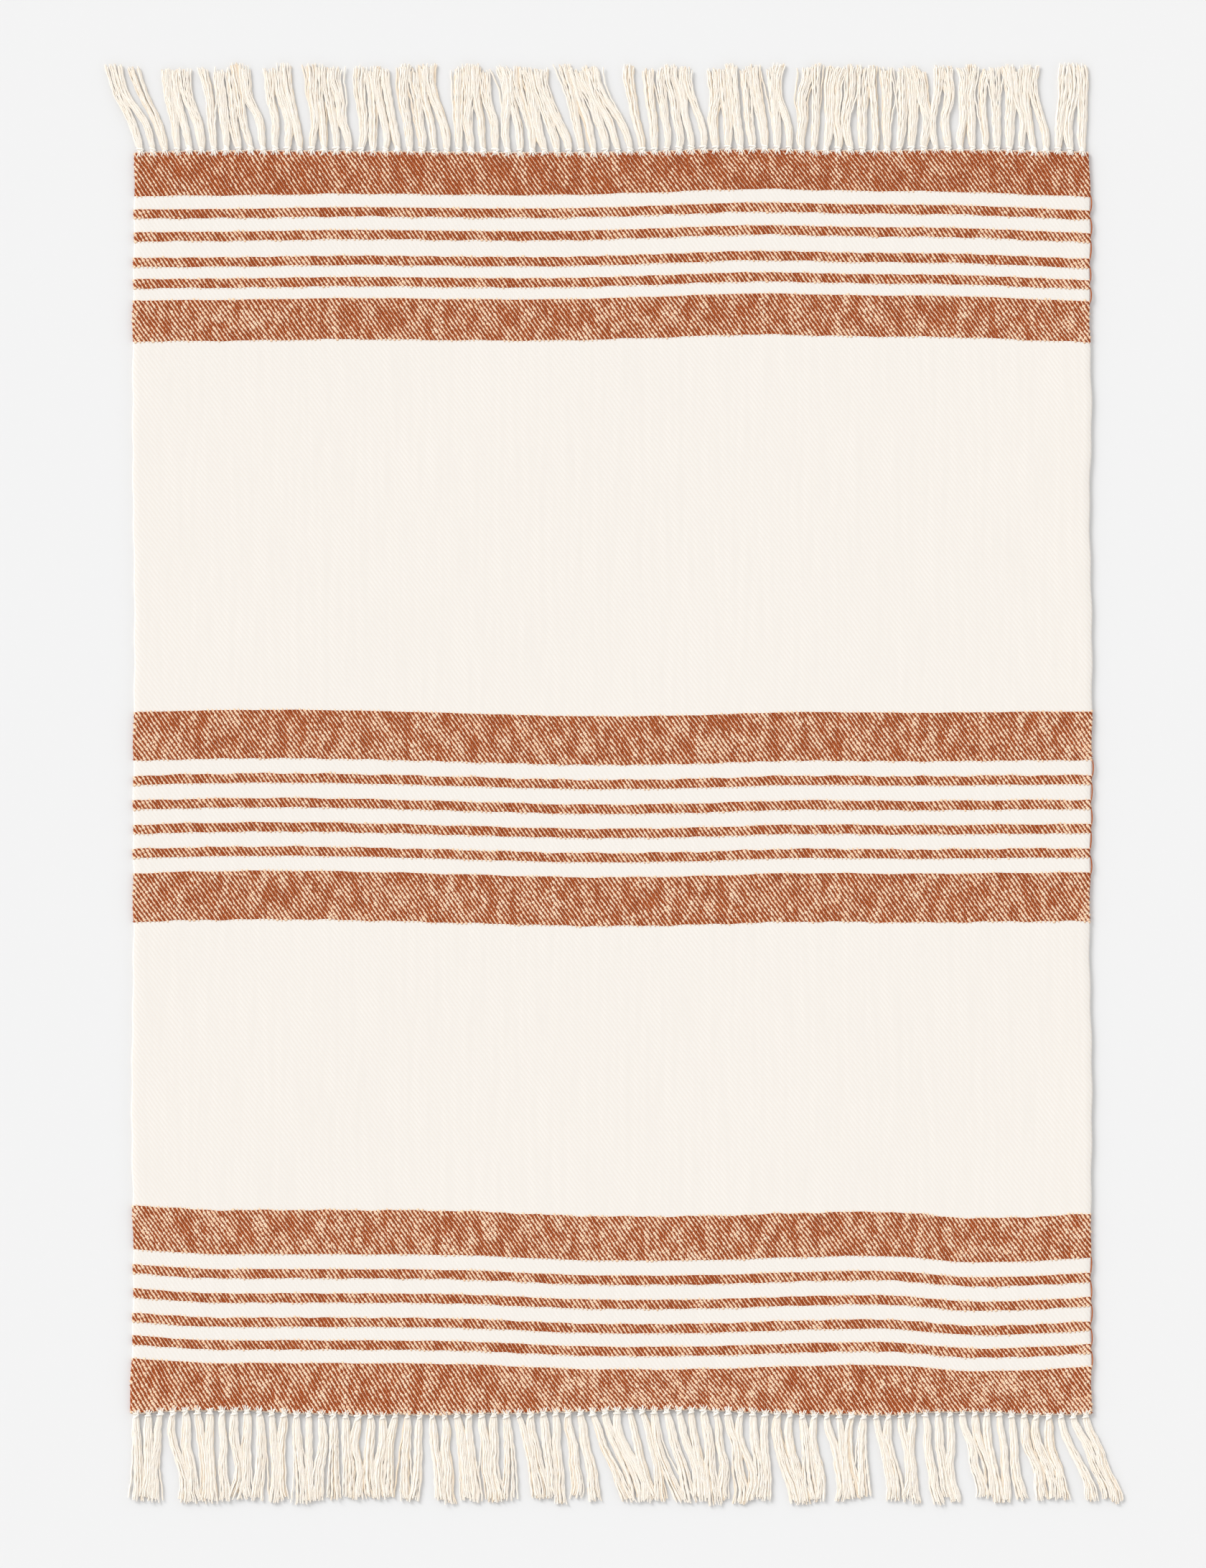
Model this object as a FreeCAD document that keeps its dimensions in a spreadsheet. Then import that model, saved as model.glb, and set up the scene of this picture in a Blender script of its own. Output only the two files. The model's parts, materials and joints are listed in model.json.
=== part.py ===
"""Striped cotton bath mat with knotted fringe: one flat-woven cloth, lying face up.

The cloth is woven across its width from runs of cream and rust weft, so each run is a piece of
its own: 18 rust stripes and 17 cream ones. Its warp ends leave both short edges as tassels, each
tied in a knot against a hem thread, and the rust yarn is carried along the right selvedge from
one stripe to the next. The mat folds in half along the middle, between two runs of weft, so the
runs on the two sides of that line are two bodies.

Millimetres. X is the width, +Y the far end, +Z up. The origin is under the middle of the mat,
on the floor.
"""
import FreeCAD, Part

import math
import os

import Sketcher

from FreeCAD import Rotation, Vector

os.makedirs("parts", exist_ok=True)
doc = FreeCAD.newDocument("BathMat")

# ---------------------------------------------------------------- driving dimensions

SIZES = {
    "mat_length": 914.4,        # over both fringes
    "cloth_width": 610.0,       # selvedge to selvedge
    "cloth_thick": 2.4,
    "edge_round": 0.9,          # rounding of the selvedges
    "far_edge": 402.4,          # Y of the last pick at the far end
    "pick_pitch": 0.965,        # one weft pick to the next
    "fold_clear": 0.3,          # left open on the fold line, between the two bodies
    "thread_dia": 1.0,          # hem thread
    "knot_wide": 3.4,
    "knot_round": 0.7,
    "knot_count": 78,
    "tassel_root": 3.2,         # width where a tassel leaves its knot
    "tassel_tip": 5.6,          # width where it ends
    "tassel_thick": 2.0,
    "lean_middle": 10.0,        # how far most tips lie to one side
    "lean_corner": 10.0,        # and how much further at the corner that they lean to
    "lean_reach": 2.5,          # tassels over which that dies away
    "lean_start": 9.0,          # tassels over which the lean begins at the other corner
    "carried_dia": 0.9,         # rust yarn carried along the selvedge
}

# Picks in each run of weft, from the far end to the near end. The names are the node names.
FAR_STRIPES = [
    ("far_outer_band", 27),
    ("far_gap_1", 9),
    ("far_stripe_1", 6),
    ("far_gap_2", 9),
    ("far_stripe_2", 6),
    ("far_gap_3", 11),
    ("far_stripe_3", 6),
    ("far_gap_4", 8),
    ("far_stripe_4", 6),
    ("far_gap_5", 8),
    ("far_inner_band", 27),
]
MIDDLE_STRIPES_FAR = [
    ("middle_far_band", 32),
    ("middle_gap_1", 10),
    ("middle_stripe_1", 6),
]
MIDDLE_STRIPES_NEAR = [
    ("middle_gap_2", 10),
    ("middle_stripe_2", 6),
    ("middle_gap_3", 10),
    ("middle_stripe_3", 6),
    ("middle_gap_4", 10),
    ("middle_stripe_4", 6),
    ("middle_gap_5", 10),
    ("middle_near_band", 32),
]
NEAR_STRIPES = [
    ("near_inner_band", 29),
    ("near_gap_1", 10),
    ("near_stripe_1", 6),
    ("near_gap_2", 10),
    ("near_stripe_2", 6),
    ("near_gap_3", 10),
    ("near_stripe_3", 6),
    ("near_gap_4", 9),
    ("near_stripe_4", 6),
    ("near_gap_5", 9),
    ("near_outer_band", 30),
]
FAR_HALF = FAR_STRIPES + [("far_field", 247)] + MIDDLE_STRIPES_FAR
NEAR_HALF = MIDDLE_STRIPES_NEAR + [("near_field", 192)] + NEAR_STRIPES

sheet = doc.addObject("Spreadsheet::Sheet", "Sizes")


def put_in_sheet(row, alias, value):
    sheet.set(f"A{row}", alias)
    sheet.set(f"B{row}", str(value))
    sheet.setAlias(f"B{row}", alias)


rows = list(SIZES.items()) + [(f"{run}_picks", picks) for run, picks in FAR_HALF + NEAR_HALF]
for row, (alias, value) in enumerate(rows, start=1):
    put_in_sheet(row, alias, value)
doc.recompute()

# Sketcher's own numbers for a sketch's two axes
H_AXIS = -1
V_AXIS = -2

sub_parts = []


def size(alias):
    """A driving dimension, read back from the sheet."""
    return float(sheet.get(alias))


def keep(obj):
    """Marks obj as a sub-part. Its Label names its file."""
    obj.Label = obj.Name
    sub_parts.append(obj)
    return obj


def origin_plane(body, role):
    return next(f for f in body.Origin.OriginFeatures if f.Role == role)


def sketch_on(body, role, name):
    sketch = body.newObject("Sketcher::SketchObject", name)
    sketch.AttachmentSupport = [(origin_plane(body, role), "")]
    sketch.MapMode = "FlatFace"
    return sketch


# ---------------------------------------------------------------- runs of weft


def standing_rectangle(sketch, wide, tall):
    """A rectangle on the sketch's horizontal axis, centred on its upright one."""
    half = 10.0
    corners = [Vector(-half, 0, 0), Vector(half, 0, 0), Vector(half, half, 0), Vector(-half, half, 0)]
    for start, end in zip(corners, corners[1:] + corners[:1]):
        sketch.addGeometry(Part.LineSegment(start, end))
    for line in range(4):
        sketch.addConstraint(Sketcher.Constraint("Coincident", line, 2, (line + 1) % 4, 1))
    sketch.addConstraint(Sketcher.Constraint("PointOnObject", 0, 1, H_AXIS))
    sketch.addConstraint(Sketcher.Constraint("Symmetric", 0, 1, 0, 2, V_AXIS))
    sketch.addConstraint(Sketcher.Constraint("Vertical", 1))
    sketch.addConstraint(Sketcher.Constraint("Horizontal", 2))
    sketch.addConstraint(Sketcher.Constraint("Vertical", 3))
    across = sketch.addConstraint(Sketcher.Constraint("DistanceX", 0, 1, 0, 2, 2 * half))
    sketch.renameConstraint(across, "across")
    upright = sketch.addConstraint(Sketcher.Constraint("DistanceY", 1, 1, 1, 2, half))
    sketch.renameConstraint(upright, "upright")
    sketch.setExpression("Constraints.across", wide)
    sketch.setExpression("Constraints.upright", tall)


def long_edges(shape):
    """Names of the edges that run along Y, which are the selvedges'."""
    names = []
    for number, edge in enumerate(shape.Edges, start=1):
        direction = edge.tangentAt(edge.FirstParameter)
        if abs(direction.y) > 0.99:
            names.append(f"Edge{number}")
    return names


def weft_run(name, far_edge):
    """One run of weft, from far_edge (an expression) towards -Y."""
    body = doc.addObject("PartDesign::Body", name)
    section = sketch_on(body, "XZ_Plane", f"{name}_section")
    standing_rectangle(section, "Sizes.cloth_width", "Sizes.cloth_thick")
    pad = body.newObject("PartDesign::Pad", f"{name}_pad")
    pad.Profile = section
    pad.setExpression("Length", f"Sizes.{name}_picks * Sizes.pick_pitch")
    doc.recompute()
    fillet = body.newObject("PartDesign::Fillet", f"{name}_selvedges")
    fillet.Base = (pad, long_edges(pad.Shape))
    fillet.setExpression("Radius", "Sizes.edge_round")
    body.Tip = fillet
    body.setExpression("Placement.Base.y", far_edge)
    return keep(body)


def near_edge_of(name):
    """Where the next run starts, as an expression."""
    return f"{name}.Placement.Base.y - {name}_pad.Length"


def weave(runs, far_edge):
    """Lays the runs one after another, and returns the expression of the last near edge."""
    for name, _ in runs:
        weft_run(name, far_edge)
        far_edge = near_edge_of(name)
    return far_edge


fold_far_side = weave(FAR_HALF, "Sizes.far_edge * 1 mm")
near_edge = weave(NEAR_HALF, f"{fold_far_side} - Sizes.fold_clear * 1 mm")

# ---------------------------------------------------------------- hems and knots

END_FAR = ("far", "Sizes.far_edge * 1 mm", 1)
END_NEAR = ("near", near_edge, -1)


def hem_thread(end, edge, outward):
    """The thread that the knots are drawn up against, along one short edge."""
    body = doc.addObject("PartDesign::Body", f"hem_thread_{end}")
    section = sketch_on(body, "YZ_Plane", f"hem_thread_{end}_section")
    section.addGeometry(Part.Circle(Vector(0, 1, 0), Vector(0, 0, 1), 0.5))
    section.addConstraint(Sketcher.Constraint("PointOnObject", 0, 3, V_AXIS))
    radius = section.addConstraint(Sketcher.Constraint("Radius", 0, 0.5))
    section.renameConstraint(radius, "radius")
    section.setExpression("Constraints.radius", "Sizes.thread_dia / 2")
    rise = section.addConstraint(Sketcher.Constraint("DistanceY", H_AXIS, 1, 0, 3, 1.0))
    section.renameConstraint(rise, "rise")
    section.setExpression("Constraints.rise", "Sizes.cloth_thick / 2")
    pad = body.newObject("PartDesign::Pad", f"hem_thread_{end}_pad")
    pad.Profile = section
    pad.Midplane = True
    pad.setExpression("Length", "Sizes.cloth_width - 2 * Sizes.edge_round")
    body.setExpression("Placement.Base.y", f"{edge} + {outward} * Sizes.thread_dia / 2 * 1 mm")
    return keep(body)


def knot_profile(sketch):
    """Half of a rounded bead, to the right of the sketch's upright axis and centred on the other."""
    reach = size("knot_wide") / 2
    half = size("cloth_thick") / 2
    soft = size("knot_round")
    slant = soft * math.sqrt(0.5)
    foot = Vector(reach - soft, soft - half, 0)
    crown = Vector(reach - soft, half - soft, 0)
    outline = [
        Part.LineSegment(Vector(0, -half, 0), Vector(foot.x, -half, 0)),
        Part.Arc(Vector(foot.x, -half, 0), foot + Vector(slant, -slant, 0), Vector(reach, foot.y, 0)),
        Part.LineSegment(Vector(reach, foot.y, 0), Vector(reach, crown.y, 0)),
        Part.Arc(Vector(reach, crown.y, 0), crown + Vector(slant, slant, 0), Vector(crown.x, half, 0)),
        Part.LineSegment(Vector(crown.x, half, 0), Vector(0, half, 0)),
        Part.LineSegment(Vector(0, half, 0), Vector(0, -half, 0)),
    ]
    for piece in outline:
        sketch.addGeometry(piece)


def hem_knots(end, edge, outward):
    """A row of knots beside the hem thread, one for each tassel."""
    body = doc.addObject("PartDesign::Body", f"hem_knots_{end}")
    profile = sketch_on(body, "XZ_Plane", f"hem_knots_{end}_profile")
    knot_profile(profile)
    knot = body.newObject("PartDesign::Revolution", f"hem_knots_{end}_knot")
    knot.Profile = profile
    knot.ReferenceAxis = (profile, ["V_Axis"])
    knot.Angle = 360
    row = body.newObject("PartDesign::LinearPattern", f"hem_knots_{end}_row")
    row.Originals = [knot]
    row.Direction = (profile, ["H_Axis"])
    row.setExpression("Length", "Sizes.cloth_width * (1 - 1 / Sizes.knot_count)")
    row.setExpression("Occurrences", "Sizes.knot_count")
    body.Tip = row
    body.setExpression("Placement.Base.x", "-Sizes.cloth_width / 2 * (1 - 1 / Sizes.knot_count) * 1 mm")
    body.setExpression(
        "Placement.Base.y",
        f"{edge} + {outward} * (Sizes.thread_dia + Sizes.knot_wide / 2) * 1 mm",
    )
    body.setExpression("Placement.Base.z", "Sizes.cloth_thick / 2 * 1 mm")
    return keep(body)


for end in (END_FAR, END_NEAR):
    hem_thread(*end)
    hem_knots(*end)
doc.recompute()

# ---------------------------------------------------------------- fringe


def tip_lean(place, count):
    """How far a tip lies to the side, for the tassel at this place from the leading corner."""
    from_start = count - 1 - place
    steady = size("lean_middle") * min(1.0, from_start / size("lean_start"))
    corner = size("lean_corner") * math.exp(-place / size("lean_reach"))
    return steady + corner


def tassel(root, tip, floor):
    """A flat bundle that widens from root to tip, both points on the floor."""
    half_root = size("tassel_root") / 2
    half_tip = size("tassel_tip") / 2
    outline = [
        Vector(root.x - half_root, root.y, floor),
        Vector(root.x + half_root, root.y, floor),
        Vector(tip.x + half_tip, tip.y, floor),
        Vector(tip.x - half_tip, tip.y, floor),
    ]
    face = Part.Face(Part.makePolygon(outline + outline[:1]))
    return face.extrude(Vector(0, 0, size("tassel_thick")))


def fringe(end, root_y, half_turns):
    """The tassels of one end, drawn at the far end and turned round for the near one."""
    count = int(size("knot_count"))
    pitch = size("cloth_width") / count
    tip_y = size("mat_length") / 2
    bundles = []
    for place in range(count):
        x = (place + 0.5) * pitch - size("cloth_width") / 2
        root = Vector(x, root_y, 0)
        tip = Vector(x - tip_lean(place, count), tip_y, 0)
        bundles.append(tassel(root, tip, 0))
    row = doc.addObject("Part::Feature", f"fringe_tassels_{end}")
    row.Shape = Part.makeCompound(bundles)
    row.Placement = FreeCAD.Placement(Vector(0, 0, 0), Rotation(Vector(0, 0, 1), 180 * half_turns))
    return keep(row)


def knots_outer_edge(end):
    knots = doc.getObject(f"hem_knots_{end}")
    return abs(knots.Placement.Base.y) + size("knot_wide") / 2


fringe("far", knots_outer_edge("far"), 0)
fringe("near", knots_outer_edge("near"), 1)

# ---------------------------------------------------------------- rust yarn carried along the selvedge


def carried_yarn(name, gaps):
    """Straight floats past the given cream gaps, just outside the right selvedge."""
    floats = []
    for gap in gaps:
        run = doc.addObject("Part::Cylinder", f"{name}_past_{gap}")
        run.setExpression("Radius", "Sizes.carried_dia / 2")
        run.setExpression("Height", f"{gap}_pad.Length")
        run.Placement.Rotation = Rotation(Vector(1, 0, 0), 90)
        run.setExpression("Placement.Base.x", "(Sizes.cloth_width + Sizes.carried_dia) / 2 * 1 mm")
        run.setExpression("Placement.Base.y", f"{gap}.Placement.Base.y")
        run.setExpression("Placement.Base.z", "Sizes.cloth_thick / 2 * 1 mm")
        floats.append(run)
    bundle = doc.addObject("Part::Compound", name)
    bundle.Links = floats
    return keep(bundle)


def gaps_of(runs):
    return [name for name, _ in runs if "_gap_" in name]


carried_yarn("carried_yarn_far", gaps_of(FAR_STRIPES))
carried_yarn("carried_yarn_middle_far", gaps_of(MIDDLE_STRIPES_FAR))
carried_yarn("carried_yarn_middle_near", gaps_of(MIDDLE_STRIPES_NEAR))
carried_yarn("carried_yarn_near", gaps_of(NEAR_STRIPES))
doc.recompute()

# ---------------------------------------------------------------- checks and files

for obj in doc.Objects:
    faults = {"Invalid", "Error"} & set(obj.State)
    if faults:
        raise RuntimeError(f"{obj.Name} is {faults}")

for part in sub_parts:
    if part.Shape.isNull() or not part.Shape.isValid():
        raise RuntimeError(f"{part.Label} has no valid shape")
    if part.Shape.Volume <= 0:
        raise RuntimeError(f"{part.Label} is empty")

for part in sub_parts:
    part.Shape.exportStep(f"parts/{part.Label}.step")
    box = part.Shape.BoundBox
    print(f"{part.Label}: {len(part.Shape.Solids)} solids, Y {box.YMin:.2f} to {box.YMax:.2f}")
print(f"{len(sub_parts)} sub-parts")
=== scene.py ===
"""Striped cotton bath mat with a knotted fringe, lying on a pale floor.

The cloth is laid in runs of weft, as the frame has it. Each run is a closed slab of cloth that
follows one shared lay: the weft lines ride up and down a little, the selvedges wander and the
cloth rises off the floor here and there. The rust runs carry their twill as real floats.
Lengths are in metres, and MM is one millimetre.
"""

import json
import math

import bpy
import numpy as np
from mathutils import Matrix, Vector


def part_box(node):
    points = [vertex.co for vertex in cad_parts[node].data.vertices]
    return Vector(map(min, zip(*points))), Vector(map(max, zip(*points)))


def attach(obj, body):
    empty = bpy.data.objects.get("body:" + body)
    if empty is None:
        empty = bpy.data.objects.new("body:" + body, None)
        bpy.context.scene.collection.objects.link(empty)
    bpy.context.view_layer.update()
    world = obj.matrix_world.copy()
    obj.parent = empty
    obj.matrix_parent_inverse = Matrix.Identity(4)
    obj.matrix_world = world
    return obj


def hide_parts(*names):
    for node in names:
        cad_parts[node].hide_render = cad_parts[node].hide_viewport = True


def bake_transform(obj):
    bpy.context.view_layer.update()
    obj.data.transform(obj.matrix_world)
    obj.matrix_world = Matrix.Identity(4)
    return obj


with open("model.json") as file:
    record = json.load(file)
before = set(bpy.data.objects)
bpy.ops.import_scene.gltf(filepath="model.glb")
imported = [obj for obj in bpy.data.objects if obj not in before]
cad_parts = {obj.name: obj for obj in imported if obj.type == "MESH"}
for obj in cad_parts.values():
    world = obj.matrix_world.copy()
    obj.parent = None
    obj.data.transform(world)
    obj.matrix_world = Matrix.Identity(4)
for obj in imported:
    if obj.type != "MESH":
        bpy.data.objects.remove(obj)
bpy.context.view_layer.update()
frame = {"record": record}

MM = 0.001
NEAR_BODY = "near_half"
FAR_BODY = "far_half"

# ---------------------------------------------------------------- sizes

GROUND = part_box("far_field")
HALF_WIDTH = GROUND[1][0]
THICK = GROUND[1][2]
FAR_HEM_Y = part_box("far_outer_band")[1][1]
NEAR_HEM_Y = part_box("near_outer_band")[0][1]
FOLD_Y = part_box("middle_stripe_1")[0][1]

PICK = 0.965 * MM               # one weft pick to the next
WARP_ENDS = 872                 # across the width
END = 2 * HALF_WIDTH / WARP_ENDS
TWILL = 4                       # picks and ends in one repeat of the twill

SLAB_LOW = 0.25 * MM            # the slab under the floats, inside the cloth's thickness
SLAB_HIGH = THICK - 0.25 * MM
SELVEDGE_ROUND = 0.95 * MM
COLUMNS = 170                   # of the slab's grid, selvedge to selvedge

KNOTS = 78
KNOT_PITCH = 2 * HALF_WIDTH / KNOTS
KNOT_OUT = 1.9 * MM              # from the hem to the middle of a knot
KNOT_HIGH = 1.45 * MM

# ---------------------------------------------------------------- how the cloth lies

# How far the weft lines ride up the mat, in mm, at places across it, for each group of stripes
FAR_SWAY = [(-305, -1.8), (-240, -1.3), (-160, -0.3), (-90, -1.0), (-30, -1.0), (30, 0.7),
            (85, 2.6), (160, 1.5), (225, 0.8), (270, -1.0), (305, -2.4)]
MIDDLE_SWAY = [(-305, 0.3), (-265, 1.4), (-200, 1.9), (-150, 1.1), (-90, -0.5), (-20, -2.2),
               (50, -1.6), (110, 0.3), (200, 0.0), (260, 0.6), (305, 0.8)]
NEAR_SWAY = [(-305, 5.2), (-265, 2.4), (-200, 2.0), (-90, 1.1), (-20, -1.8), (60, -1.8),
             (130, 0.3), (175, 0.7), (230, -3.2), (270, -2.3), (305, -0.3)]
FAR_HEM_SWAY = [(-305, -0.6), (-240, 0.4), (-160, 0.0), (-60, -0.8), (0, -0.6), (85, 1.3),
                (150, 0.2), (225, 0.8), (305, -0.6)]
NEAR_HEM_SWAY = [(-305, -0.3), (-260, 1.5), (-170, -1.2), (-60, -0.3), (50, 1.9), (120, -0.8),
                 (175, -1.3), (215, 0.6), (290, -1.4), (305, -1.0)]
# Where along the mat each of those holds, in mm
SWAYS = [(-401, NEAR_HEM_SWAY), (-370, NEAR_SWAY), (-272, NEAR_SWAY), (-90, MIDDLE_SWAY),
         (46, MIDDLE_SWAY), (282, FAR_SWAY), (376, FAR_SWAY), (403, FAR_HEM_SWAY)]
# How far each selvedge stands out beyond its straight line, in mm, at places along the mat
LEFT_WANDER = [(-402, 2.6), (-385, 1.6), (-330, 0.2), (-200, 1.2), (-120, 0.2), (0, 0.1),
               (110, -0.6), (190, 0.4), (300, 0.3), (360, -0.4), (402, -0.9)]
RIGHT_WANDER = [(-402, 0.6), (-300, 0.1), (-180, 0.9), (-110, -0.6), (0, 0.5), (100, 0.9),
                (180, -0.6), (240, 0.8), (300, -0.7), (370, -0.2), (402, -1.0)]


def through(points, at):
    """A smooth line through the given points, in metres, at the places given in metres."""
    places = np.array([place for place, _ in points]) * MM
    values = np.array([value for _, value in points]) * MM
    slopes = np.gradient(values, places)
    at = np.clip(at, places[0], places[-1])
    left = np.clip(np.searchsorted(places, at) - 1, 0, len(places) - 2)
    span = places[left + 1] - places[left]
    share = (at - places[left]) / span
    rest = 1 - share
    return (
        values[left] * (1 + 2 * share) * rest ** 2
        + slopes[left] * span * share * rest ** 2
        + values[left + 1] * (3 - 2 * share) * share ** 2
        - slopes[left + 1] * span * share ** 2 * rest
    )


def ripple(x, y, across, along, turn):
    """A slow wave with the given lengths across and along, in metres, from -1 to 1."""
    return np.sin(2 * math.pi * x / across + turn) * np.sin(2 * math.pi * y / along + 1.7 * turn)


def sway(x, y):
    """How far the weft lies up the mat from its straight line."""
    places = np.array([place for place, _ in SWAYS]) * MM
    lines = np.array([through(points, x) for _, points in SWAYS])
    left = np.clip(np.searchsorted(places, y) - 1, 0, len(places) - 2)
    share = np.clip((y - places[left]) / (places[left + 1] - places[left]), 0, 1)
    share = share * share * (3 - 2 * share)
    column = np.arange(len(x))
    drawn = lines[left, column] * (1 - share) + lines[left + 1, column] * share
    uneven = 0.25 * MM * (ripple(x, y, 0.047, 0.031, 0.4) + ripple(x, y, 0.019, 0.023, 2.1))
    return drawn + uneven


def wander(x, y):
    """How far a point is drawn sideways by the selvedges, which don't run quite straight."""
    left = -through(LEFT_WANDER, y)
    right = through(RIGHT_WANDER, y)
    share = (x + HALF_WIDTH) / (2 * HALF_WIDTH)
    wobble = 0.3 * MM * np.sin(2 * math.pi * y / 0.034) * np.abs(2 * share - 1) ** 6
    return left * (1 - share) ** 2 + right * share ** 2 + wobble


def rise(x, y):
    """How far the cloth stands off the floor: a fraction of a millimetre, in slow waves."""
    waves = 0.6 * ripple(x, y, 0.31, 0.27, 0.6) + 0.4 * ripple(x, y, 0.17, 0.41, 2.9)
    return 0.22 * MM * (1 + waves)


def lay(points):
    """Flat points of the woven cloth, an n by 3 array, to where they lie."""
    x, y, z = np.asarray(points, float).T
    return np.stack([x + wander(x, y), y + sway(x, y), z + rise(x, y)], axis=1)


# ---------------------------------------------------------------- node helpers


def wire(tree, socket, value):
    """Links value to the socket if it is another node's output, or else sets it."""
    if isinstance(value, bpy.types.NodeSocket):
        tree.links.new(value, socket)
    elif value is not None:
        socket.default_value = value


def place(tree, kind, inputs=(), **settings):
    """Adds a node. inputs go by number or by name."""
    node = tree.nodes.new(kind)
    for key, value in settings.items():
        setattr(node, key, value)
    for key, value in dict(inputs).items():
        wire(tree, node.inputs[key], value)
    return node


def maths(tree, operation, first, second=None):
    return place(tree, "ShaderNodeMath", {0: first, 1: second}, operation=operation).outputs[0]


def vector(tree, x=0.0, y=0.0, z=0.0):
    return place(tree, "ShaderNodeCombineXYZ", {0: x, 1: y, 2: z}).outputs[0]


def vector_maths(tree, operation, first, second):
    node = place(tree, "ShaderNodeVectorMath", {0: first, 1: second}, operation=operation)
    return node.outputs[0]


def spread(tree, value, low, high, to_low, to_high):
    """value, from low..high to to_low..to_high, held inside them."""
    inputs = {0: value, 1: low, 2: high, 3: to_low, 4: to_high}
    return place(tree, "ShaderNodeMapRange", inputs, clamp=True).outputs[0]


def chance(tree, low, high, seed):
    inputs = {2: low, 3: high, 8: seed}
    return place(tree, "FunctionNodeRandomValue", inputs, data_type="FLOAT").outputs[1]


def socket_kind(value):
    kinds = {bool: "Bool", int: "Int", float: "Float", tuple: "Vector", type(None): "Geometry"}
    return "NodeSocket" + kinds.get(type(value), "Material")


def new_tree(name, kind, inputs, outputs):
    """A node group with named inputs {name: default} and outputs {name: socket type}."""
    tree = bpy.data.node_groups.new(name, kind)
    for key, value in inputs.items():
        made = tree.interface.new_socket(key, in_out="INPUT", socket_type=socket_kind(value))
        if isinstance(value, (bool, int, float, tuple)):
            made.default_value = value
    for key, kind_name in outputs.items():
        tree.interface.new_socket(key, in_out="OUTPUT", socket_type=kind_name)
    return tree, tree.nodes.new("NodeGroupInput").outputs, tree.nodes.new("NodeGroupOutput").inputs


def grow(source, tree, values, name):
    """Runs a Geometry Nodes tree on the source object and returns the result as a plain object."""
    modifier = source.modifiers.new("grow", "NODES")
    modifier.node_group = tree
    for item in tree.interface.items_tree:
        if item.in_out == "INPUT" and item.name in values:
            modifier[item.identifier] = values[item.name]
    source.update_tag()
    bpy.context.view_layer.update()
    evaluated = source.evaluated_get(bpy.context.evaluated_depsgraph_get())
    mesh = bpy.data.meshes.new_from_object(evaluated)
    mesh.name = name
    bpy.data.objects.remove(source, do_unlink=True)
    made = bpy.data.objects.new(name, mesh)
    bpy.context.collection.objects.link(made)
    return made


def mesh_object(name, points, faces=(), edges=()):
    mesh = bpy.data.meshes.new(name)
    mesh.from_pydata(np.asarray(points).tolist(), edges, faces)
    mesh.update()
    made = bpy.data.objects.new(name, mesh)
    bpy.context.collection.objects.link(made)
    return made


def store(mesh, name, kind, values):
    attribute = mesh.attributes.new(name, kind, "POINT")
    key = "vector" if kind == "FLOAT_VECTOR" else "value"
    attribute.data.foreach_set(key, np.asarray(values, np.float32).ravel())


# ---------------------------------------------------------------- materials


def shaded(name, build, roughness=0.9, sheen=0.25):
    """A cloth material. build(tree) gives its colour and its height."""
    material = bpy.data.materials.new(name)
    material.use_nodes = True
    tree = material.node_tree
    shader = tree.nodes["Principled BSDF"]
    shader.inputs["Roughness"].default_value = roughness
    shader.inputs["Specular IOR Level"].default_value = 0.2
    shader.inputs["Sheen Weight"].default_value = sheen
    shader.inputs["Sheen Roughness"].default_value = 0.5
    colour, height, depth = build(tree)
    wire(tree, shader.inputs["Base Color"], colour)
    bump = place(tree, "ShaderNodeBump", {"Height": height, "Distance": depth, "Strength": 1.0})
    wire(tree, shader.inputs["Normal"], bump.outputs["Normal"])
    return material


def object_place(tree):
    return place(tree, "ShaderNodeTexCoord").outputs["Object"]


def noise(tree, at, scale, detail=2.0):
    inputs = {"Vector": at, "Scale": scale, "Detail": detail}
    return place(tree, "ShaderNodeTexNoise", inputs).outputs["Fac"]


def blended(tree, share, first, second, how="MIX"):
    inputs = {0: share, 6: first, 7: second}
    return place(tree, "ShaderNodeMix", inputs, data_type="RGBA", blend_type=how).outputs[2]


def yarn_fibre_group():
    """Fine fibres and slubs of cotton yarn: a height, and how much its colour wavers."""
    inputs = {"Place": (0.0, 0.0, 0.0), "Fibre": 9000.0, "Slub": 260.0}
    outputs = {"Height": "NodeSocketFloat", "Waver": "NodeSocketFloat"}
    tree, given, result = new_tree("cotton fibre", "ShaderNodeTree", inputs, outputs)
    fine = noise(tree, given["Place"], given["Fibre"], 1.0)
    coarse = noise(tree, given["Place"], given["Slub"], 3.0)
    both = maths(tree, "MULTIPLY_ADD", coarse, 0.5)
    wire(tree, both.node.inputs[2], maths(tree, "MULTIPLY", fine, 0.5))
    wire(tree, result["Height"], both)
    wire(tree, result["Waver"], spread(tree, coarse, 0.3, 0.7, 0.0, 1.0))
    return tree


FIBRE = yarn_fibre_group()


def fibres(tree, at, fibre=9000.0, slub=260.0):
    group = place(tree, "ShaderNodeGroup", node_tree=FIBRE)
    for key, value in {"Place": at, "Fibre": fibre, "Slub": slub}.items():
        wire(tree, group.inputs[key], value)
    return group.outputs["Height"], group.outputs["Waver"]


def plain_yarn(shadow, light):
    def build(tree):
        height, waver = fibres(tree, object_place(tree))
        return blended(tree, waver, (*shadow, 1), (*light, 1)), height, 0.12 * MM

    return build


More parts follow.
